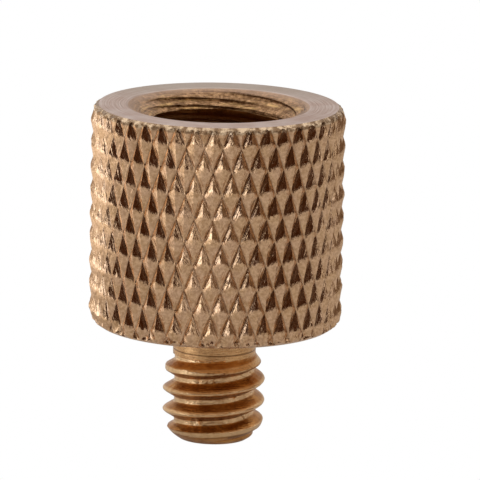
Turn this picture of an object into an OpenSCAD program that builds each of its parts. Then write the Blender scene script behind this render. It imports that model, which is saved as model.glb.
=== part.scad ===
// Tripod thread adapter: a knurled brass head with a tapped blind hole in its top face and a
// threaded stud below. It is turned from one bar, so it is one solid.
// It stands on its stud. The origin is the centre of the stud's end face, and +Z runs up the
// axis.
// The helical threads are finer than the form modelled here: the stud has the outside diameter
// of its thread, and the hole has the diameter that is drilled before the thread is cut.

/* [Head] */
// Outside diameter over the knurl's crests
head_d = 15; // [12.5:0.1:22]
// Height of the head, from its shoulder to its top face
head_h = 13; // [9:0.1:20]
// Radial width of the chamfer round the top edge
top_chamfer_w = 0.45; // [0.2:0.05:0.8]
// Height of the chamfer round the top edge
top_chamfer_h = 0.34; // [0.2:0.02:0.8]
// Radial width of the chamfer round the bottom edge
foot_chamfer_w = 0.53; // [0.2:0.01:0.8]
// Height of the chamfer round the bottom edge
foot_chamfer_h = 0.36; // [0.2:0.02:0.8]

/* [Knurl] */
// Number of diamonds round the head
knurl_count = 42; // [24:1:60]
// Height of one diamond, from its lower point to its upper point
diamond_h = 2.8; // [1.6:0.1:4]
// Depth of the rolled grooves below the crests
knurl_depth = 0.36; // [0.1:0.02:0.4]
// Share of a diamond's width and height that its flattened crest keeps
crest_share = 0.12; // [0.05:0.01:0.4]
// Height of the highest full row of crests below the top face
first_row_drop = 1; // [0.2:0.1:2.8]
// Turn of that row's crests about the axis, from the front
knurl_turn = -2; // [-8:0.5:8]

/* [Tapped hole] */
// Diameter of the hole, as drilled for its thread
hole_d = 7.94; // [6:0.02:9.6]
// Brass left between the drill's point and the level of the shoulder
hole_floor = 1; // [0.4:0.1:3]
// Point angle of the drill that made it
drill_angle = 118; // [90:1:140]
// Diameter of the countersink at the top face
countersink_d = 10.7; // [10:0.1:11.2]
// Full angle of the countersink
countersink_angle = 110; // [60:1:130]

/* [Stud] */
// Outside diameter of the stud's thread
stud_d = 6.12; // [5.4:0.02:8]
// Length of the stud below the head
stud_h = 7; // [5:0.1:14]
// Diameter of the plain neck between the thread and the head
neck_d = 4.9; // [3:0.1:5.2]
// Height of the neck, with the slope where the thread runs out
neck_h = 2.4; // [0.8:0.1:3.2]
// Height of that slope alone
runout_h = 0.5; // [0.2:0.1:0.7]
// Diameter of the flat end face
end_d = 4.5; // [3:0.1:5.2]
// Height of the chamfer round the end
end_chamfer_h = 0.62; // [0.3:0.02:1.2]

/* [Hidden] */
brass = "#b08d57";
$fn = 96;
total_h = stud_h + head_h;
head_r = head_d / 2;
hole_r = hole_d / 2;
stud_r = stud_d / 2;
drill_point_h = hole_r / tan(drill_angle / 2);
countersink_h = (countersink_d - hole_d) / 2 / tan(countersink_angle / 2);
// What a cut reaches past a face that it has to clear
clear = 0.5;

// The knurl is a lattice of places: rows half a diamond apart in height, and columns half a
// diamond apart round the head. Crests and groove crossings alternate along each row and each
// column.
columns = 2 * knurl_count;
column_turn = 360 / columns;
row_h = diamond_h / 2;
rows_above = ceil((first_row_drop + clear) / row_h);
rows_below = ceil((head_h - first_row_drop + clear) / row_h);
last_row = rows_above + rows_below;
lowest_row_z = total_h - first_row_drop - rows_below * row_h;

// A flattened crest is a small diamond, whose corners are numbered in this order
right = 0;
top = 1;
left = 2;
bottom = 3;
corner_steps = [[crest_share, 0], [0, crest_share], [-crest_share, 0], [0, -crest_share]];

// Whether there is a crest at column i and row j, and not a groove crossing
function is_crest(i, j) = (i + j + rows_below) % 2 == 0;

// A point at column i and row j, both counted in steps of the lattice, on the radius r
function lattice_point(i, j, r) =
    let (turn = knurl_turn - 90 + column_turn * i)
    [r * cos(turn), r * sin(turn), lowest_row_z + row_h * j];

// The four corners of one place. A groove crossing is a single point, listed four times.
function place_points(i, j) = [
    for (step = corner_steps)
        is_crest(i, j)
        ? lattice_point(i + step[0], j + step[1], head_r)
        : lattice_point(i, j, head_r - knurl_depth)
];

// The number of one corner in the list of all points
function corner(i, j, side) = 4 * (j * columns + i % columns) + (is_crest(i, j) ? side : 0);

// A flank is a four-sided face between a crest's edge and the groove beside it
function flank(a, b, c, d) = [[a, b, c], [a, c, d]];

// The groove crosses each cell of the lattice from one crossing to the other, between two flanks
function cell_faces(i, j) =
    is_crest(i, j)
    ? concat(
        flank(corner(i, j, right), corner(i, j, top), corner(i, j + 1, 0), corner(i + 1, j, 0)),
        flank(corner(i + 1, j, 0), corner(i, j + 1, 0),
              corner(i + 1, j + 1, left), corner(i + 1, j + 1, bottom)))
    : concat(
        flank(corner(i, j, 0), corner(i + 1, j + 1, 0),
              corner(i + 1, j, top), corner(i + 1, j, left)),
        flank(corner(i, j, 0), corner(i, j + 1, bottom),
              corner(i, j + 1, right), corner(i + 1, j + 1, 0)));

// The upper and lower halves of a flattened crest. The end rows have one half each.
function crest_faces(i, j) = [
    if (is_crest(i, j) && j < last_row) [corner(i, j, right), corner(i, j, left), corner(i, j, top)],
    if (is_crest(i, j) && j > 0) [corner(i, j, left), corner(i, j, right), corner(i, j, bottom)]
];

// The closed ring of points along one row
function ring(j) = [
    for (i = [0:columns - 1], side = is_crest(i, j) ? [left, right] : [0]) corner(i, j, side)
];

function backwards(list) = [for (k = [len(list) - 1:-1:0]) list[k]];

// A bar with the rolled diamond knurl, a little longer than the head
module knurled_bar() {
    polyhedron(
        points = [
            for (j = [0:last_row], i = [0:columns - 1]) each place_points(i, j)
        ],
        faces = [
            for (j = [0:last_row - 1], i = [0:columns - 1]) each cell_faces(i, j),
            for (j = [0:last_row], i = [0:columns - 1]) each crest_faces(i, j),
            ring(0),
            backwards(ring(last_row))
        ]);
}

// What the turning tool leaves of the bar: two flat faces and a chamfer on each edge. The
// chamfers run on past the crests, so they cut the diamonds of the end rows.
module head_envelope() {
    top_run = top_chamfer_h * (1 + clear / top_chamfer_w);
    foot_run = foot_chamfer_h * (1 + clear / foot_chamfer_w);
    rotate_extrude()
        polygon([
            [0, stud_h],
            [head_r - foot_chamfer_w, stud_h],
            [head_r + clear, stud_h + foot_run],
            [head_r + clear, total_h - top_run],
            [head_r - top_chamfer_w, total_h],
            [0, total_h]
        ]);
}

// The stud, from its end face up into the head
module stud() {
    rotate_extrude()
        polygon([
            [0, 0],
            [end_d / 2, 0],
            [stud_r, end_chamfer_h],
            [stud_r, stud_h - neck_h],
            [neck_d / 2, stud_h - neck_h + runout_h],
            [neck_d / 2, stud_h + hole_floor / 2],
            [0, stud_h + hole_floor / 2]
        ]);
}

// The drilled and countersunk hole, with the cone that the drill's point leaves
module hole() {
    floor_z = stud_h + hole_floor;
    mouth_slope = tan(countersink_angle / 2);
    rotate_extrude()
        polygon([
            [0, floor_z],
            [hole_r, floor_z + drill_point_h],
            [hole_r, total_h - countersink_h],
            [countersink_d / 2 + clear * mouth_slope, total_h + clear],
            [0, total_h + clear]
        ]);
}

module thread_adapter() {
    color(brass)
    difference() {
        union() {
            intersection() {
                knurled_bar();
                head_envelope();
            }
            stud();
        }
        hole();
    }
}

thread_adapter();
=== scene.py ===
"""A tripod thread adapter turned from brass bar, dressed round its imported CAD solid.

Shapes are worked out in millimetres and degrees, and go into the mesh in metres. A turn about the
axis is counted from the front, -Y, towards +X. The whole adapter is one closed surface, which runs
from the middle of the stud's end face out and up round the head, and down into the tapped hole.
"""
import math

import bpy
import numpy as np
from mathutils import Matrix, Vector


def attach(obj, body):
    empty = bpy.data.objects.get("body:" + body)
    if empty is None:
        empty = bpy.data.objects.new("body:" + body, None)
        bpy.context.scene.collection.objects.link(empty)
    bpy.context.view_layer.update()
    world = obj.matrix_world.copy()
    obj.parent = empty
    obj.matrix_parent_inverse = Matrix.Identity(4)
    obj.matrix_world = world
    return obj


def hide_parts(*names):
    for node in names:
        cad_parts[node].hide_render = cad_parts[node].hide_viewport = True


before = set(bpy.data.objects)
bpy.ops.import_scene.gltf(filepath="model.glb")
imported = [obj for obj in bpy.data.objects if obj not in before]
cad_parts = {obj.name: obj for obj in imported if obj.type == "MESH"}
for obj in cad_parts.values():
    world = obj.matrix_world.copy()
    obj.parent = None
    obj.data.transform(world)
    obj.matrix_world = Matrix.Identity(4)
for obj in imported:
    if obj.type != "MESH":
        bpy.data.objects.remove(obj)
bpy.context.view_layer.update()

MM = 0.001
SEED = 42

# The head
HEAD_R = 7.5
SHOULDER_Z = 7.0
TOP_Z = 20.0
TOP_CHAMFER_W = 0.45
TOP_CHAMFER_H = 0.34
FOOT_CHAMFER_W = 0.53
FOOT_CHAMFER_H = 0.36

# The knurl: diamonds round the head, with crests at whole even sums of column and row
KNURL_COUNT = 42
DIAMOND_H = 2.8
# The profile across a groove, as places from one crest at 0 to the next at 2, and depths there. Each
# groove has a steep side, which faces up, and a gentle side, which faces down.
LEFT_GROOVE = ([0, 1 / 7, 6 / 7, 2], [0, 0, 0.30, 0])
RIGHT_GROOVE = ([0, 8 / 7, 10 / 7, 13 / 7, 2], [0, 0.32, 0.155, 0, 0])
FIRST_ROW_Z = 19.0
KNURL_TURN = -2.0
COLUMN_TURN = 180.0 / KNURL_COUNT
ROW_H = DIAMOND_H / 2
# Half a diamond is divided evenly, so the mesh has edges along every bend of a flank
STEPS = np.arange(7) / 7

# The tapped hole, with a three-eighths inch thread. Its phase is the height of a crest at the front.
BORE_MINOR_R = 3.97
BORE_MAJOR_R = 4.76
BORE_PITCH = 1.5875
BORE_CREST, BORE_ROOT = 0.25, 0.125
BORE_PHASE_Z = 18.346
BORE_THREAD_END_Z = 11.6
# The countersink, with a rounded rim, and the ledges that its cutter left in a spiral
COUNTERSINK_R = 5.35
COUNTERSINK_SLOPE = math.tan(math.radians(55))
COUNTERSINK_END_Z = 19.0
RIM_ROUND = 0.14
# The ledges run round in four starts, which all climb this much in a turn
LEDGE_RISE = 1.44
LEDGE_STARTS = 4
LEDGE_PHASE_Z = 19.026
LEDGE_WALL = 0.4
# The turn where each start of the ledges is deepest
LEDGE_MIDDLES = np.array([130, 80, 195, 190])
FLOOR_Z = 8.0
FLOOR_EDGE_Z = FLOOR_Z + BORE_MINOR_R / math.tan(math.radians(59))

# The stud, with a quarter inch thread
STUD_R = 3.02
STUD_ROOT_R = 2.33
STUD_PITCH = 1.27
STUD_PHASE_Z = 2.95 + STUD_PITCH / 4
STUD_CREST, STUD_ROOT = 0.12, 0.20
NECK_R = 2.45
# The last crest below the neck is turned down flat
LAST_CREST_R = 2.89
NECK_LOW_Z = 4.5
NECK_HIGH_Z = 5.1
END_R = 2.05
END_ROUND_H = 2.2
# Dents and burrs in the stud's thread: turn, height, width and depth, which is below 0 for a burr
STUD_MARKS = [
    (-23, 3.8, 0.10, 0.05), (-16, 3.83, 0.06, -0.05), (-9.5, 3.88, 0.09, 0.05),
    (-3, 3.9, 0.06, -0.04), (0.5, 3.9, 0.08, 0.05), (19, 2.1, 0.09, -0.07),
    (-18, 1.4, 0.13, -0.10), (-26, 1.38, 0.08, 0.06), (69, 4.2, 0.16, 0.12),
    (51, 1.7, 0.16, 0.14), (32, 2.9, 0.10, -0.06), (-40, 2.5, 0.10, 0.05),
    (12, 1.5, 0.12, -0.05), (38, 2.95, 0.08, 0.06), (-34, 1.3, 0.09, -0.06)]
# The height of the fine line that the turning tool left round the neck
NECK_LINE_Z = 5.43
# Edges that bend more than this many degrees are shown crisp
CRISP_EDGE = 25


def turned(radius, height, turn):
    """Points at a radius and a height for a turn about the axis: x is the radius times the turn's
    sine, y is minus the radius times its cosine, and z is the height."""
    angle = np.radians(turn)
    return np.stack(np.broadcast_arrays(radius * np.sin(angle), -radius * np.cos(angle), height), -1)


def smooth_step(value, low, high):
    """0 below low and 1 above high, with an even S curve 3t^2 - 2t^3 between them."""
    t = np.clip((value - low) / (high - low), 0, 1)
    return t * t * (3 - 2 * t)


def soft_max(a, b, width):
    """The larger of two values, with the corner between them rounded over a width."""
    gap = np.clip(0.5 + 0.5 * (a - b) / width, 0, 1)
    return b + (a - b) * gap + width * gap * (1 - gap)


def hills(across, up, waves, rng):
    """A gentle uneven surface between about -1 and 1: a sum of sine waves whose directions, lengths
    and starts come from the seeded generator. Waves round the axis are whole numbers, so it closes."""
    total = np.zeros(np.broadcast(across, up).shape)
    for _ in range(10):
        round_axis = rng.integers(-waves, waves + 1)
        along = rng.uniform(-1, 1) * waves / 45.0
        total += np.sin(np.radians(across) * round_axis + up * along * 6.28 + rng.uniform(0, 6.28))
    return total / 4.5


# Grids of triangles

def grid_triangles(rows, columns, backslash=None, climb=0):
    """Two triangles for each cell between neighbouring rows and columns, facing outwards. The last
    column joins the first one, climb rows higher. Cells marked in backslash are divided from their
    lower right to their upper left corner, and the others from lower left to upper right."""
    row, column = np.meshgrid(np.arange(rows - 1), np.arange(columns), indexing="ij")
    next_row = row + climb * (column == columns - 1)
    a = row * columns + column
    b = next_row * columns + (column + 1) % columns
    c, d = b + columns, a + columns
    kept = next_row < rows - 1
    leaning = np.zeros_like(kept) if backslash is None else backslash
    straight, leaning = kept & ~leaning, kept & leaning
    return np.concatenate([
        np.stack([a, b, c], -1)[straight], np.stack([a, c, d], -1)[straight],
        np.stack([a, b, d], -1)[leaning], np.stack([b, c, d], -1)[leaning]])


def widening_triangles(few):
    """A strip from a ring of few points out to a ring of three times as many, facing outwards."""
    a = np.arange(few)
    b = (a + 1) % few
    o = [few + (3 * a + k) % (3 * few) for k in range(4)]
    return np.concatenate([np.stack(t, -1) for t in (
        (a, o[1], o[0]), (a, b, o[1]), (b, o[2], o[1]), (b, o[3], o[2]))])


def narrowing_triangles(few):
    """A strip from a ring of three times as many points in to a ring of few, facing outwards."""
    many = 3 * few
    a = np.arange(few)
    b = many + (a + 1) % few
    o = [(3 * a + k) % many for k in range(4)]
    a = many + a
    return np.concatenate([np.stack(t, -1) for t in (
        (o[0], o[1], a), (o[1], b, a), (o[1], o[2], b), (o[2], o[3], b))])


# Shapes

def thread_depth(phase, crest, root, crest_round, root_round):
    """How deep a thread's groove is, from 0 on its crest to 1 at its root. The phase counts turns
    from the middle of the crest. The flanks are straight, and the corners where they meet the flat
    crest and the flat root are rounded over a share of the depth."""
    off = np.abs((phase + 0.5) % 1 - 0.5)
    straight = (off - crest / 2) / (0.5 - root / 2 - crest / 2)
    return 1 - soft_max(1 - soft_max(straight, 0, crest_round), 0, root_round)


def thread_phases(crest, root):
    """The phases of a thread's rows within one turn: the crest's middle, its edges, the flanks and
    the root's edges and middle, closer together where the form bends."""
    edge, foot = crest / 2, 0.5 - root / 2
    half = [0, edge * 0.8, edge + 0.03, edge + 0.09, edge * 0.5 + foot * 0.5,
            foot - 0.05, foot, foot * 0.5 + 0.25]
    return np.array(half + [0.5] + [1 - h for h in half[:0:-1]])


def helical_rows(low, high, pitch, phase_z, phases, turns):
    """Heights of rows that climb with a thread, one pitch in a turn, held between low and high. The
    last column of a row meets the first column of the row one turn of phases later."""
    first = math.floor((low - phase_z) / pitch) - 2
    last = math.ceil((high - phase_z) / pitch) + 2
    whole = np.arange(first, last)
    start = (whole[:, None] + phases[None, :]).ravel()
    height = phase_z + pitch * (start[:, None] + turns[None, :] / 360)
    return np.clip(height, low, high)


def stud_depth(height, turn):
    """The depth of the stud's thread, from 0 on its crest to 1 at its root, and its phase in turns."""
    phase = (height - STUD_PHASE_Z) / STUD_PITCH - turn / 360
    return thread_depth(phase, STUD_CREST, STUD_ROOT, 0.25, 0.06), phase


def stud_radius(height, turn, rng):
    """The stud's radius: the thread from its crest to its root, under the end's chamfer, running out
    into the neck. Each mark is a bell-shaped dent or burr, and hills roughen the whole."""
    depth, _ = stud_depth(height, turn)
    radius = STUD_R - (STUD_R - STUD_ROOT_R) * depth
    radius += 0.012 * hills(turn, height, 9, rng) + 0.010 * hills(turn, height, 55, rng)
    for mark_turn, mark_z, width, mark_depth in STUD_MARKS:
        off = (np.radians(turn - mark_turn) * STUD_ROOT_R) ** 2 + (height - mark_z) ** 2
        radius -= mark_depth * np.exp(-off / width ** 2)
    rounded = 1 - (1 - np.clip(height / END_ROUND_H, 0, 1)) ** 3.7
    lead_in = END_R + (STUD_R - END_R) * rounded
    last_crest = STUD_R - (STUD_R - LAST_CREST_R) * smooth_step(height, 3.9, 4.1)
    runout = LAST_CREST_R - (height - NECK_LOW_Z) * (LAST_CREST_R - NECK_R) / (NECK_HIGH_Z - NECK_LOW_Z)
    radius = np.minimum(np.minimum(radius, lead_in), last_crest)
    radius = np.minimum(radius, np.maximum(runout, NECK_R))
    return np.where(height > NECK_HIGH_Z, NECK_R, radius)


def ledge_shares(height, turn):
    """How far a point has climbed from one ledge's foot to the next, from 0 to 1, and how marked that
    ledge is at its turn, from 0 to 1: it fades with the cosine of the turn from where it is deepest."""
    climb = ((height - LEDGE_PHASE_Z) / LEDGE_RISE - turn / 360) * LEDGE_STARTS
    middle = LEDGE_MIDDLES[np.floor(climb).astype(int) % LEDGE_STARTS]
    marked = np.clip(2.0 * np.cos(np.radians(turn - middle)) - 0.9, 0.1, 1)
    return climb % 1, marked


def bore_burr(height, turn):
    """1 on the thin burr in the hole's wall at the back, on the left, falling to 0 beside it."""
    along = smooth_step(turn % 360, 196, 202) * (1 - smooth_step(turn % 360, 228, 240))
    return along * np.exp(-((height - 18.80) / 0.05) ** 2)


def bore_radius(height, turn, rng):
    """The tapped hole's radius: the drilled hole, the thread cut into its wall from the countersink
    down to where the tap stopped, and the countersink over both. The countersink is a cone in ledges:
    on each one the radius stands still over the wall's share of the pitch, and widens over the rest."""
    phase = (height - BORE_PHASE_Z) / BORE_PITCH - turn / 360
    cut = thread_depth(phase, BORE_CREST, BORE_ROOT, 0.1, 0.1)
    cut *= smooth_step(height, BORE_THREAD_END_Z - 1.2, BORE_THREAD_END_Z)
    cut *= 1 - smooth_step(height, 18.90, 19.03)
    radius = BORE_MINOR_R + (BORE_MAJOR_R - BORE_MINOR_R) * cut - 0.12 * bore_burr(height, turn)
    share, marked = ledge_shares(height, turn)
    stepped = np.clip((share - LEDGE_WALL) / (1 - LEDGE_WALL), 0, 1) - share
    drop = TOP_Z - height - LEDGE_RISE / LEDGE_STARTS * stepped * marked
    countersink = COUNTERSINK_R - drop * COUNTERSINK_SLOPE
    return np.maximum(radius, countersink) + 0.008 * hills(turn, height, 60, rng)


def knurl_places(height, turn):
    """Where a point lies across the grooves of each family, from one crest at 0 to the next at 2:
    first the grooves that lean left as they climb, then those that lean right."""
    column = (turn - KNURL_TURN) / COLUMN_TURN
    row = (height - FIRST_ROW_Z) / ROW_H
    return (column + row) % 2, (column - row) % 2


def knurl_radius(height, turn, rng):
    """The knurled wall's radius: two families of V grooves rolled into the bar, the deeper one at each
    point, which the rolling left a little uneven."""
    left, right = knurl_places(height, turn)
    radius = HEAD_R - soft_max(np.interp(left, *LEFT_GROOVE), np.interp(right, *RIGHT_GROOVE), 0.004)
    radius += 0.016 * (hills(turn, height, 60, rng) - 1)
    radius += 0.12 * (hills(turn, height, 80, rng) - 0.5) * (1 - smooth_step(height, 7.3, 7.8))
    radius += 0.010 * (hills(turn, height, 140, rng) - 1)
    return np.minimum(radius, HEAD_R)


def rounded_edge(start, corner, end, count):
    """Radius and height of count points along an arc-like curve from start to end, bent at corner: a
    quadratic curve with the corner as its middle control point."""
    t = np.linspace(0, 1, count)[:, None]
    start, corner, end = np.array(start), np.array(corner), np.array(end)
    return (1 - t) ** 2 * start + 2 * t * (1 - t) * corner + t ** 2 * end


def adapter_surface():
    """All points and triangles of the adapter, with the finish of each triangle and the ATTRIBUTES of
    each point. Bands of rings follow each other and share their end rings."""
    rng = np.random.default_rng(SEED)
    head_turns = np.concatenate([(i + STEPS) * COLUMN_TURN + KNURL_TURN
                                 for i in range(-KNURL_COUNT, KNURL_COUNT)])
    few_turns = head_turns[::3]
    few = len(few_turns)
    points, triangles, finishes, gaps = [], [], [], []
    count = 0

    def band(grid, tris, finish, gap=None):
        nonlocal count
        flat = grid.reshape(-1, 3)
        points.append(flat)
        triangles.append(tris + count)
        finishes.append(np.full(len(tris), finish))
        gap = np.broadcast_arrays(1.0, 1.0, 0.0, np.zeros(len(flat))) if gap is None else gap
        gaps.append(np.stack(gap, -1).reshape(-1, 4))
        count += len(flat)

    def plain_band(profile, turns, finish):
        """Rings along a profile of radius and height pairs."""
        profile = np.array(profile, float)
        grid = turned(profile[:, :1], profile[:, 1:], turns[None, :])
        band(grid, grid_triangles(len(profile), len(turns)), finish)

    # the stud's end face, from its middle
    plain_band([(0, 0), (0.4, 0), (1.2, 0), (1.8, 0), (END_R - 0.03, 0), (END_R, 0)], few_turns, 3)
    # the stud
    phases = thread_phases(STUD_CREST, STUD_ROOT)
    heights = helical_rows(0, SHOULDER_Z - 0.12, STUD_PITCH, STUD_PHASE_Z, phases, few_turns)
    radius = stud_radius(heights, few_turns[None, :], rng)
    radius = np.where(heights <= 0, END_R, radius)
    radius = np.where(heights >= SHOULDER_Z - 0.12, NECK_R, radius)
    depth, phase = stud_depth(heights, few_turns[None, :])
    # How far each point is worn bright, with a painted highlight on crests and roots, and how far it gets a
    # painted shade, on the flanks that face down
    wear_and_highlight = np.maximum(smooth_step(depth, 0.88, 0.98), 1 - smooth_step(depth, 0.08, 0.3))
    plain = (heights > NECK_HIGH_Z) | (heights < 0.5)
    wear_and_highlight = np.where(plain, np.where(heights < 0.5, 0.1, 0.5), wear_and_highlight)
    below = np.where(plain | ((phase + 0.5) % 1 > 0.5), 0, 1 - wear_and_highlight)
    band(turned(radius, heights, few_turns[None, :]),
         grid_triangles(len(heights), few, climb=len(phases)), 2, [wear_and_highlight, wear_and_highlight, wear_and_highlight, below])
    # the corner under the head, and the shoulder
    corner = rounded_edge((NECK_R, SHOULDER_Z - 0.12), (NECK_R, SHOULDER_Z),
                          (NECK_R + 0.12, SHOULDER_Z), 5)
    plain_band(corner, few_turns, 3)
    shoulder_out = HEAD_R - FOOT_CHAMFER_W
    plain_band([(NECK_R + 0.12, SHOULDER_Z), (3.4, SHOULDER_Z), (4.6, SHOULDER_Z), (5.8, SHOULDER_Z),
                (shoulder_out - 0.3, SHOULDER_Z)], few_turns, 3)
    inner = turned(shoulder_out - 0.3, SHOULDER_Z, few_turns)
    outer = turned(shoulder_out - 0.03, SHOULDER_Z, head_turns)
    band(np.concatenate([inner, outer]), widening_triangles(few), 3)
    plain_band([(shoulder_out - 0.03, SHOULDER_Z), (shoulder_out, SHOULDER_Z)], head_turns, 3)

    # the knurled wall with both chamfers
    rows = (FIRST_ROW_Z + ROW_H * (np.arange(-9, 1)[:, None] + STEPS[None, :])).ravel()
    rows = rows[(rows > SHOULDER_Z + 0.42) & (rows < TOP_Z - 0.40)]
    foot_rows = SHOULDER_Z + np.array(
        [0, 0.02, 0.06, 0.10, 0.14, 0.18, 0.22, 0.26, 0.30, 0.335, 0.36, 0.385])
    top_rows = TOP_Z - np.array(
        [0.365, 0.34, 0.315, 0.28, 0.24, 0.20, 0.16, 0.12, 0.08, 0.04, 0.015, 0])
    rows = np.concatenate([foot_rows, rows, top_rows])
    height, turn = rows[:, None], head_turns[None, :]
    radius = knurl_radius(height, turn, rng)
    foot = shoulder_out + (height - SHOULDER_Z) * FOOT_CHAMFER_W / FOOT_CHAMFER_H
    top = HEAD_R - TOP_CHAMFER_W + (TOP_Z - height) * TOP_CHAMFER_W / TOP_CHAMFER_H
    top = top + 0.04 * hills(turn, height, 70, rng) * smooth_step(TOP_Z - height, 0, 0.1)
    radius = np.minimum(np.minimum(radius, foot), top)
    left, right = knurl_places(height, turn)
    left, right = np.abs(left - LEFT_GROOVE[0][2]), np.abs(right - RIGHT_GROOVE[0][1])
    gap = np.broadcast_arrays(left, right, np.minimum(left, right), 0)
    middle_row = (rows[1:] + rows[:-1]) / 2
    lattice_row = np.floor((middle_row - FIRST_ROW_Z) / ROW_H).astype(int)
    lattice_column = np.repeat(np.arange(-KNURL_COUNT, KNURL_COUNT), len(STEPS))
    backslash = (lattice_row[:, None] + lattice_column[None, :]) % 2 == 0
    band(turned(radius, height, turn), grid_triangles(len(rows), len(head_turns), backslash), 0, gap)

    # the top face
    top_out = HEAD_R - TOP_CHAMFER_W
    plain_band([(top_out, TOP_Z), (top_out - 0.02, TOP_Z), (top_out - 0.1, TOP_Z)], head_turns, 1)
    outer = turned(top_out - 0.1, TOP_Z, head_turns)
    inner = turned(top_out - 0.4, TOP_Z, few_turns)
    band(np.concatenate([outer, inner]), narrowing_triangles(few), 1)
    rim_out, rim_in = COUNTERSINK_R + RIM_ROUND, COUNTERSINK_R - RIM_ROUND * COUNTERSINK_SLOPE
    rim_z = TOP_Z - RIM_ROUND
    plain_band([(top_out - 0.4, TOP_Z), (6.2, TOP_Z), (5.9, TOP_Z), (rim_out, TOP_Z)], few_turns, 1)
    rim = rounded_edge((rim_out, TOP_Z), (COUNTERSINK_R, TOP_Z), (rim_in, rim_z), 7)
    plain_band(rim[:4], few_turns, 1)
    plain_band(rim[3:], few_turns, 4)

    # the countersink, and the tapped hole below it
    turns = few_turns[None, :]
    steps = np.array([0, 0.5, 1, 1.3, 1.8, 2.5]) * LEDGE_WALL
    steps = ((np.arange(LEDGE_STARTS)[:, None] + steps) / LEDGE_STARTS).ravel()
    heights = helical_rows(COUNTERSINK_END_Z, rim_z, LEDGE_RISE, LEDGE_PHASE_Z, steps, few_turns)
    radius = np.where(heights >= rim_z, rim_in, bore_radius(heights, turns, np.random.default_rng(SEED)))
    tris = grid_triangles(len(heights), few, climb=len(steps))[:, ::-1]
    share, marked = ledge_shares(heights, turns)
    # The ledges' walls get a painted shade, and a strip along each ledge's edge a painted highlight
    wall = 1 - smooth_step(share, LEDGE_WALL - 0.1, LEDGE_WALL + 0.05)
    wall *= marked * smooth_step(share, -0.01, 0.08)
    edge = marked * smooth_step(share, 0.75, 0.9) * (1 - smooth_step(share, 0.96, 1.0))
    band(turned(radius, heights, turns), tris, 4, [edge, edge, edge, wall])
    phases = thread_phases(BORE_CREST, BORE_ROOT)
    heights = helical_rows(FLOOR_EDGE_Z, COUNTERSINK_END_Z, BORE_PITCH, BORE_PHASE_Z, phases, few_turns)
    radius = bore_radius(heights, turns, np.random.default_rng(SEED))
    radius = np.where(heights <= FLOOR_EDGE_Z, BORE_MINOR_R, radius)
    tris = grid_triangles(len(heights), few, climb=len(phases))[:, ::-1]
    # The burr gets a painted glint
    burr = bore_burr(heights, turns)
    band(turned(radius, heights, turns), tris, 4, [burr, burr, burr, np.zeros_like(burr)])
    plain_band([(BORE_MINOR_R, FLOOR_EDGE_Z), (2.6, FLOOR_Z + 2.6 / math.tan(math.radians(59))),
                (1.2, FLOOR_Z + 1.2 / math.tan(math.radians(59))), (0, FLOOR_Z)], few_turns, 4)
    return (np.concatenate(points), np.concatenate(triangles), np.concatenate(finishes),
            np.concatenate(gaps))


# The gap to the nearest groove of each family of the knurl; how far the stud's thread is worn bright,
# with a painted highlight on its crests and roots; and a painted shade on its flanks that face down.
# In the hole, the third marks a painted glint on the burr and the ledges' edges, and the fourth a
# painted shade on the ledges' walls.
ATTRIBUTES = ("knurl_left", "knurl_right", "wear_and_highlight", "painted_shade")


def closed_mesh(name, points, triangles, finishes, gaps):
    """A mesh from points in mm: points in the same place become one, triangles that lose a side are
    left out, sharp bends are crisp edges, and gaps holds the values of the ATTRIBUTES."""
    _, kept, merged = np.unique(np.round(points * 1e5).astype(np.int64), axis=0,
                                return_index=True, return_inverse=True)
    triangles = merged.ravel()[triangles]
    whole = ((triangles[:, 0] != triangles[:, 1]) & (triangles[:, 1] != triangles[:, 2])
             & (triangles[:, 2] != triangles[:, 0]))
    triangles, finishes = triangles[whole], finishes[whole]
    mesh = bpy.data.meshes.new(name)
    mesh.vertices.add(len(kept))
    mesh.vertices.foreach_set("co", (points[kept] * MM).astype(np.float32).ravel())
    mesh.loops.add(triangles.size)
    mesh.loops.foreach_set("vertex_index", triangles.astype(np.int32).ravel())
    mesh.polygons.add(len(triangles))
    mesh.polygons.foreach_set("loop_start", np.arange(0, triangles.size, 3, dtype=np.int32))
    mesh.polygons.foreach_set("material_index", finishes.astype(np.int32))
    mesh.polygons.foreach_set("use_smooth", np.ones(len(triangles), bool))
    for column, family in enumerate(ATTRIBUTES):
        attribute = mesh.attributes.new(family, "FLOAT", "POINT")
        attribute.data.foreach_set("value", gaps[kept, column].astype(np.float32))
    mesh.update(calc_edges=True)
    mesh.set_sharp_from_angle(angle=math.radians(CRISP_EDGE))
    mesh.validate()
    return mesh


# Finishes

def colour(code):
    """A linear colour from an sRGB hex code."""
    parts = [int(code[k:k + 2], 16) / 255 for k in (1, 3, 5)]
    return tuple(c / 12.92 if c <= 0.04045 else ((c + 0.055) / 1.055) ** 2.4 for c in parts) + (1.0,)


def add(tree, kind, inputs=None, **settings):
    """Adds a node, sets its settings, and fills its inputs with values or other nodes' outputs."""
    node = tree.nodes.new(kind)
    for name, value in settings.items():
        setattr(node, name, value)
    for name, value in (inputs or {}).items():
        if isinstance(value, bpy.types.NodeSocket):
            tree.links.new(value, node.inputs[name])
        else:
            node.inputs[name].default_value = value
    return node


def math_node(tree, operation, *inputs):
    """The output of one Math node."""
    return add(tree, "ShaderNodeMath", dict(enumerate(inputs)), operation=operation).outputs[0]


def brass(name, clean, roughness):
    """Free-cutting brass: a metal with the default IOR. Returns the material, its tree, its shader
    and the place on the adapter in mm."""
    material = bpy.data.materials.new(name)
    material.use_nodes = True
    tree = material.node_tree
    shader = tree.nodes["Principled BSDF"]
    shader.inputs["Metallic"].default_value = 1.0
    shader.inputs["Roughness"].default_value = roughness
    shader.inputs["Base Color"].default_value = colour(clean)
    place = add(tree, "ShaderNodeTexCoord").outputs["Object"]
    place = add(tree, "ShaderNodeVectorMath", {0: place, 1: (1 / MM, 1 / MM, 1 / MM)},
                operation="MULTIPLY").outputs[0]
    return material, tree, shader, place


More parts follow.
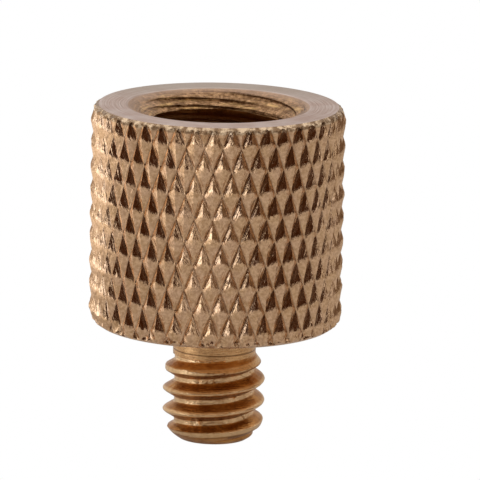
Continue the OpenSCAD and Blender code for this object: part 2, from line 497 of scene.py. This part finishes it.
def cylinder_way(tree, place, radius):
    """Distance round the axis at a radius, height and distance from the axis, all in mm."""
    split = add(tree, "ShaderNodeSeparateXYZ", {0: place})
    back = math_node(tree, "MULTIPLY", split.outputs["Y"], -1.0)
    angle = math_node(tree, "ARCTAN2", split.outputs["X"], back)
    flat = add(tree, "ShaderNodeVectorMath", {0: place, 1: (1, 1, 0)}, operation="MULTIPLY").outputs[0]
    out = add(tree, "ShaderNodeVectorMath", {0: flat}, operation="LENGTH").outputs["Value"]
    return math_node(tree, "MULTIPLY", angle, radius), split.outputs["Z"], out


def noise(tree, vector, detail=2.0, scale=1.0, rough=0.5):
    """Blender's noise over a vector, from 0 to 1."""
    return add(tree, "ShaderNodeTexNoise", {"Vector": vector, "Scale": scale, "Detail": detail,
                                            "Roughness": rough}).outputs[0]


def streaks(tree, across, up, lean, width, length):
    """Noise drawn out along a direction that leans from the vertical by a slope, across and up in mm."""
    run = math.hypot(1, lean)
    side_way = math_node(tree, "MULTIPLY_ADD", up, -lean / run / width,
                         math_node(tree, "MULTIPLY", across, 1 / run / width))
    long_way = math_node(tree, "MULTIPLY_ADD", up, 1 / run / length,
                         math_node(tree, "MULTIPLY", across, lean / run / length))
    return noise(tree, add(tree, "ShaderNodeCombineXYZ", {0: side_way, 1: long_way}).outputs[0])


def blend_colour(tree, factor, low, high):
    """From one colour at factor 0 to another at factor 1."""
    return add(tree, "ShaderNodeMix", {0: factor, 6: low, 7: high}, data_type="RGBA").outputs[2]


def spread(tree, value, low, high, to_low, to_high):
    """A value from low to high, carried over to another span and held inside it."""
    return add(tree, "ShaderNodeMapRange", {0: value, 1: low, 2: high, 3: to_low, 4: to_high}).outputs[0]


def relief(tree, shader, height, depth):
    """Gives the surface a fine relief of a depth in mm."""
    bump = add(tree, "ShaderNodeBump", {"Strength": 1.0, "Distance": depth * MM, "Height": height})
    tree.links.new(bump.outputs[0], shader.inputs["Normal"])


def rolled_knurl_brass():
    """Brass pressed into diamonds by a knurling wheel: speckled, with streaks along each groove where
    the wheel's teeth slid, a painted shade, greyer and darker, at the bottom of the grooves, and
    patches of painted shade and painted highlight on the torn metal of the top rows."""
    material, tree, shader, place = brass("rolled_knurl_brass", "#E6C3A2", 0.25)
    across, up, _ = cylinder_way(tree, place, HEAD_R)
    left = add(tree, "ShaderNodeAttribute", attribute_name="knurl_left").outputs["Fac"]
    right = add(tree, "ShaderNodeAttribute", attribute_name="knurl_right").outputs["Fac"]
    nearest = math_node(tree, "MINIMUM", left, right)
    lean = HEAD_R * math.radians(COLUMN_TURN) / ROW_H
    with_left = streaks(tree, across, up, -lean, 0.1, 1.0)
    with_right = streaks(tree, across, up, lean, 0.1, 1.0)
    by_left = math_node(tree, "LESS_THAN", left, right)
    slid = add(tree, "ShaderNodeMix", {0: by_left, 2: with_right, 3: with_left}, data_type="FLOAT").outputs[0]
    grain = noise(tree, place, 3.0, 1 / 0.22, 0.6)
    height = math_node(tree, "MULTIPLY_ADD", grain, 0.6, slid)
    relief(tree, shader, height, 0.03)
    tone = noise(tree, place, 2.0, 1 / 0.7)
    metal = blend_colour(tree, spread(tree, tone, 0.35, 0.65, 0, 1), colour("#DDB68B"), colour("#E4BE9C"))
    specks = spread(tree, noise(tree, place, 3.0, 1 / 0.17, 0.6), 0.38, 0.62, 0, 1)
    specked = blend_colour(tree, specks, colour("#A07B54"), colour("#F4D0AA"))
    metal = blend_colour(tree, 0.45, metal, specked)
    # The top rows are painted in patches: the torn metal there, with painted shade and painted highlights on
    # its lips
    patches = spread(tree, noise(tree, place, 3.0, 1 / 0.4, 0.6), 0.45, 0.6, 0, 1)
    torn = blend_colour(tree, patches, colour("#94775A"), colour("#F0D6B4"))
    metal = blend_colour(tree, spread(tree, up, 19.60, 19.68, 0.0, 1.0), metal, torn)
    # A painted shade, greyer and darker, along the bottom of the grooves, broken up by the grain
    groove_shade = spread(tree, nearest, 0.0, 0.15, 1.0, 0.0)
    groove_shade = math_node(tree, "MULTIPLY", groove_shade, spread(tree, grain, 0.35, 0.6, 0.3, 0.7))
    tree.links.new(blend_colour(tree, groove_shade, metal, colour("#A89078")), shader.inputs["Base Color"])
    rough = spread(tree, nearest, 0.05, 0.35, 0.08, 0.0)
    rough = math_node(tree, "ADD", rough, spread(tree, slid, 0.3, 0.7, 0.13, 0.25))
    tree.links.new(rough, shader.inputs["Roughness"])
    return material


def faced_brass():
    """The top face, turned flat by a tool fed towards the axis, so it has fine rings, with a broken
    band of deeper ones that also carry a painted highlight, stains from handling, and a greyer half at the
    back."""
    material, tree, shader, place = brass("faced_brass", "#D3BCAE", 0.3)
    across, _, out = cylinder_way(tree, place, 1.0)
    rings = math_node(tree, "MULTIPLY", out, 1 / 0.16)
    rings = add(tree, "ShaderNodeTexNoise", {"W": rings, "Detail": 3.0, "Scale": 1.0},
                noise_dimensions="1D").outputs[0]
    wander = noise(tree, place, 2.0, 1 / 1.4)
    arcs = streaks(tree, out, math_node(tree, "MULTIPLY", across, 6.5), 0.0, 0.14, 2.6)
    height = math_node(tree, "MULTIPLY_ADD", arcs, 1.2, rings)
    relief(tree, shader, height, 0.03)
    # The deeper rings are painted lighter as a painted highlight, and the wandering noise gives stains
    tone = math_node(tree, "MULTIPLY_ADD", wander, 0.5, math_node(tree, "MULTIPLY", arcs, 0.5))
    metal = blend_colour(tree, spread(tree, tone, 0.38, 0.62, 0, 1), colour("#C8ACA0"), colour("#E1D1CC"))
    back = spread(tree, add(tree, "ShaderNodeSeparateXYZ", {0: place}).outputs["Y"], 1.0, 5.5, 0.0, 0.7)
    tree.links.new(blend_colour(tree, back, metal, colour("#BDB3A6")), shader.inputs["Base Color"])
    return material


def die_cut_brass():
    """The stud's thread, cut with a die: dull brown flanks, with a painted shade on the flanks that face
    down, crests worn bright, and a painted highlight on the crests and roots."""
    material, tree, shader, place = brass("die_cut_brass", "#E3B98D", 0.25)
    across, up, _ = cylinder_way(tree, place, STUD_R)
    wear_and_highlight = add(tree, "ShaderNodeAttribute", attribute_name="wear_and_highlight").outputs["Fac"]
    below = add(tree, "ShaderNodeAttribute", attribute_name="painted_shade").outputs["Fac"]
    lines = streaks(tree, up, across, 0.0, 0.05, 1.5)
    grain = noise(tree, place, 3.0, 1 / 0.2, 0.6)
    height = math_node(tree, "MULTIPLY_ADD", grain, 0.7, lines)
    relief(tree, shader, height, 0.03)
    patches = noise(tree, place, 2.0, 1 / 0.8)
    flank = blend_colour(tree, spread(tree, patches, 0.35, 0.65, 0, 1), colour("#A86E30"), colour("#D29A58"))
    # A painted shade on the flanks that face down
    flank = blend_colour(tree, below, flank, colour("#94683C"))
    # A painted highlight on the crests and roots, with the crests' wear
    share = math_node(tree, "MULTIPLY", wear_and_highlight, spread(tree, grain, 0.3, 0.6, 0.65, 1.0))
    metal = blend_colour(tree, share, flank, colour("#F6D2A2"))
    groove = math_node(tree, "ABSOLUTE", math_node(tree, "SUBTRACT", up, NECK_LINE_Z))
    groove = spread(tree, groove, 0.02, 0.05, 0.75, 0.0)
    tree.links.new(blend_colour(tree, groove, metal, colour("#5A3416")), shader.inputs["Base Color"])
    return material


def turned_brass():
    """The end face and the shoulder, left as the lathe tool cut them, in rings."""
    material, tree, shader, place = brass("turned_brass", "#E0B88E", 0.28)
    _, _, out = cylinder_way(tree, place, 1.0)
    rings = math_node(tree, "MULTIPLY", out, 1 / 0.12)
    rings = add(tree, "ShaderNodeTexNoise", {"W": rings, "Detail": 2.0, "Scale": 1.0},
                noise_dimensions="1D").outputs[0]
    relief(tree, shader, rings, 0.02)
    return material


def tapped_brass():
    """The countersink and the tapped hole: torn a little by the tools, golden at the mouth, with a
    painted light on the countersink's left side, a painted shade on the ledges' walls, a painted
    glint on the burr and along the ledges' edges, and a plain dull brown further down."""
    material, tree, shader, place = brass("tapped_brass", "#B98F62", 0.35)
    across, up, _ = cylinder_way(tree, place, BORE_MAJOR_R)
    lines = streaks(tree, up, across, 0.0, 0.07, 1.8)
    grain = noise(tree, place, 3.0, 1 / 0.22, 0.65)
    height = math_node(tree, "MULTIPLY_ADD", grain, 1.0, lines)
    relief(tree, shader, height, 0.07)
    torn = math_node(tree, "MULTIPLY_ADD", grain, 0.6, math_node(tree, "MULTIPLY", lines, 0.4))
    mouth = blend_colour(tree, spread(tree, torn, 0.38, 0.62, 0, 1), colour("#74502E"), colour("#E6BA8C"))
    gold = spread(tree, streaks(tree, up, across, 0.0, 0.16, 2.4), 0.55, 0.65, 0.0, 0.8)
    mouth = blend_colour(tree, gold, mouth, colour("#F5CC8C"))
    stained = spread(tree, noise(tree, place, 3.0, 1 / 0.5, 0.6), 0.42, 0.55, 0.5, 0.0)
    mouth = blend_colour(tree, stained, mouth, colour("#74522F"))
    # The countersink's left side is painted lighter: a painted light from the left
    side = add(tree, "ShaderNodeSeparateXYZ", {0: place}).outputs["X"]
    mouth = blend_colour(tree, spread(tree, side, -5.1, -3.4, 0.35, 0.0), mouth, colour("#F6E0D0"))
    mouth = blend_colour(tree, spread(tree, up, 19.7, 19.95, 0.0, 0.8), mouth, colour("#C4A793"))
    # A painted shade on the ledges' walls, broken up in places
    ledge = add(tree, "ShaderNodeAttribute", attribute_name="painted_shade").outputs["Fac"]
    broken = spread(tree, noise(tree, place, 2.0, 1 / 0.9), 0.40, 0.55, 0.4, 1.0)
    ledge = math_node(tree, "MULTIPLY", ledge, broken)
    mouth = blend_colour(tree, ledge, mouth, colour("#40220E"))
    # A plain dull brown further down the hole
    deep = spread(tree, up, 18.6, 18.95, 1.0, 0.0)
    metal = blend_colour(tree, deep, mouth, colour("#A87C50"))
    # A painted glint on the burr and along the ledges' edges
    bright = add(tree, "ShaderNodeAttribute", attribute_name="wear_and_highlight").outputs["Fac"]
    bright = math_node(tree, "MULTIPLY", bright, 0.8)
    metal = blend_colour(tree, bright, metal, colour("#FFE2C0"))
    tree.links.new(metal, shader.inputs["Base Color"])
    return material


materials = [rolled_knurl_brass(), faced_brass(), die_cut_brass(), turned_brass(), tapped_brass()]

mesh = closed_mesh("thread_adapter_dressed", *adapter_surface())
for m in materials:
    mesh.materials.append(m)
adapter = bpy.data.objects.new("brass_adapter", mesh)
bpy.context.scene.collection.objects.link(adapter)
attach(adapter, "root")
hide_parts("thread_adapter")

# The table, the light and the camera

table = bpy.data.meshes.new("table")
side = 0.11
ring = [(side * math.sin(t * math.pi / 32), side * math.cos(t * math.pi / 32), 0) for t in range(64)]
table.from_pydata(ring, [], [list(range(63, -1, -1))])
floor = bpy.data.objects.new("pale_table", table)
bpy.context.scene.collection.objects.link(floor)
material = bpy.data.materials.new("pale_table")
material.use_nodes = True
tree = material.node_tree
tree.nodes.clear()
paper = add(tree, "ShaderNodeBsdfDiffuse", {"Color": colour("#B8B6B5")})
# The floor is lit from the left and a little from behind, so it is brighter there
way = add(tree, "ShaderNodeVectorMath", {0: add(tree, "ShaderNodeTexCoord").outputs["Object"],
                                         1: (0.95, -0.31, 0)}, operation="DOT_PRODUCT")
fallen = spread(tree, way.outputs["Value"], -0.034, -0.022, 0.78, 0.22)
fallen = add(tree, "ShaderNodeEmission", {"Color": colour("#FFFBF6"), "Strength": fallen})
paper = add(tree, "ShaderNodeAddShader", {0: paper.outputs[0], 1: fallen.outputs[0]})
glow = add(tree, "ShaderNodeEmission", {"Color": (1, 1, 1, 1), "Strength": 1.0})
seen = add(tree, "ShaderNodeLightPath")
both = add(tree, "ShaderNodeMixShader", {0: seen.outputs["Is Camera Ray"], 1: paper.outputs[0],
                                         2: glow.outputs[0]})
clear = add(tree, "ShaderNodeBsdfTransparent")
side_seen = add(tree, "ShaderNodeNewGeometry")
whole = add(tree, "ShaderNodeMixShader", {0: side_seen.outputs["Backfacing"], 1: both.outputs[0],
                                          2: clear.outputs[0]})
add(tree, "ShaderNodeOutputMaterial", {"Surface": whole.outputs[0]})
table.materials.append(material)

scene = bpy.context.scene
scene.view_settings.view_transform = "Standard"
world = bpy.data.worlds.new("studio")
scene.world = world
world.use_nodes = True
tree = world.node_tree
tree.nodes.clear()
way = add(tree, "ShaderNodeSeparateXYZ", {0: add(tree, "ShaderNodeTexCoord").outputs["Generated"]})
back_y = add(tree, "ShaderNodeMath", {0: way.outputs["Y"], 1: -1.0}, operation="MULTIPLY")
azimuth = add(tree, "ShaderNodeMath", {0: way.outputs["X"], 1: back_y.outputs[0]}, operation="ARCTAN2")
degrees = add(tree, "ShaderNodeMath", {0: azimuth.outputs[0], 1: 57.2958}, operation="MULTIPLY")
rise = add(tree, "ShaderNodeMath", {0: way.outputs["Z"]}, operation="ARCSINE")
rise = add(tree, "ShaderNodeMath", {0: rise.outputs[0], 1: 57.2958}, operation="MULTIPLY")


def span(value, low, high, soft):
    """1 where a value lies between low and high, falling smoothly to 0 over soft on both sides."""
    up = add(tree, "ShaderNodeMapRange", {0: value, 1: low - soft, 2: low, 3: 0.0, 4: 1.0},
             interpolation_type="SMOOTHSTEP")
    down = add(tree, "ShaderNodeMapRange", {0: value, 1: high, 2: high + soft, 3: 1.0, 4: 0.0},
               interpolation_type="SMOOTHSTEP")
    return math_node(tree, "MULTIPLY", up.outputs[0], down.outputs[0])


# each light is an azimuth span and an elevation span, in degrees, and a strength
LIGHTS = [
    ((-82, -54, 4), (-20, 11, 4), 2.0),        # the big soft box on the left, towards the front
    ((-128, -86, 14), (-10, 40, 8), 0.5),      # its spill on the wall beside it
    ((48, 54, 4), (-10, 30, 8), 1.1),          # a strip light on the right
    ((56, 112, 8), (-10, 35, 10), 0.12),       # and its spill
    ((-400, 400, 1), (45, 91, 15), 0.8),       # the ceiling
    ((118, 400, 8), (-10, 40, 10), 0.47),      # the wall behind, in two halves
    ((-400, -148, 28), (2, 40, 6), 0.62),
]
total = None
for (a0, a1, soft_a), (e0, e1, soft_e), strength in LIGHTS:
    part = add(tree, "ShaderNodeMath", {0: span(degrees.outputs[0], a0, a1, soft_a),
                                        1: span(rise.outputs[0], e0, e1, soft_e)}, operation="MULTIPLY")
    part = add(tree, "ShaderNodeMath", {0: part.outputs[0], 1: strength,
                                        2: 0.0 if total is None else total}, operation="MULTIPLY_ADD")
    total = part.outputs[0]
# what is dim is warmer too: green and blue fall off faster than red
surround = add(tree, "ShaderNodeCombineColor", {
    channel: math_node(tree, "ADD", math_node(tree, "POWER", total, power), least)
    for channel, (power, least) in enumerate([(1.0, 0.050), (1.08, 0.016), (1.2, 0.004)])})
lit = add(tree, "ShaderNodeBackground", {"Color": surround.outputs[0], "Strength": 1.0})
white = add(tree, "ShaderNodeBackground", {"Color": (1, 1, 1, 1), "Strength": 1.0})
seen = add(tree, "ShaderNodeLightPath")
both = add(tree, "ShaderNodeMixShader", {0: seen.outputs["Is Camera Ray"], 1: lit.outputs[0],
                                         2: white.outputs[0]})
add(tree, "ShaderNodeOutputWorld", {"Surface": both.outputs[0]})

# The camera looks down from the front, a little to one side, and leans by one degree
ELEVATION = math.radians(12.7)
LEAN = math.radians(1.07)
DISTANCE = 317.6
TARGET = np.array([0, 0, 10.0])
AIM_RIGHT, AIM_UP = 1.425, 1.854
right = np.array([1.0, 0, 0])
up = np.array([0, math.sin(ELEVATION), math.cos(ELEVATION)])
place = TARGET + DISTANCE * np.array([0, -math.cos(ELEVATION), math.sin(ELEVATION)])
frame_right = right * math.cos(LEAN) + up * math.sin(LEAN)
frame_up = up * math.cos(LEAN) - right * math.sin(LEAN)
look = TARGET + AIM_RIGHT * frame_right + AIM_UP * frame_up - place
look /= np.linalg.norm(look)
frame_right = np.cross(look, frame_up)
frame_right /= np.linalg.norm(frame_right)
frame_up = np.cross(frame_right, look)
camera = bpy.data.objects.new("camera", bpy.data.cameras.new("camera"))
scene.collection.objects.link(camera)
camera.data.sensor_width = 36
camera.data.lens = 403.95
camera.data.clip_start = 0.01
camera.data.clip_end = 10
turn = Matrix([[*row] for row in np.stack([frame_right, frame_up, -look], 1)])
camera.matrix_world = Matrix.Translation(Vector(place * MM)) @ turn.to_4x4()
scene.camera = camera
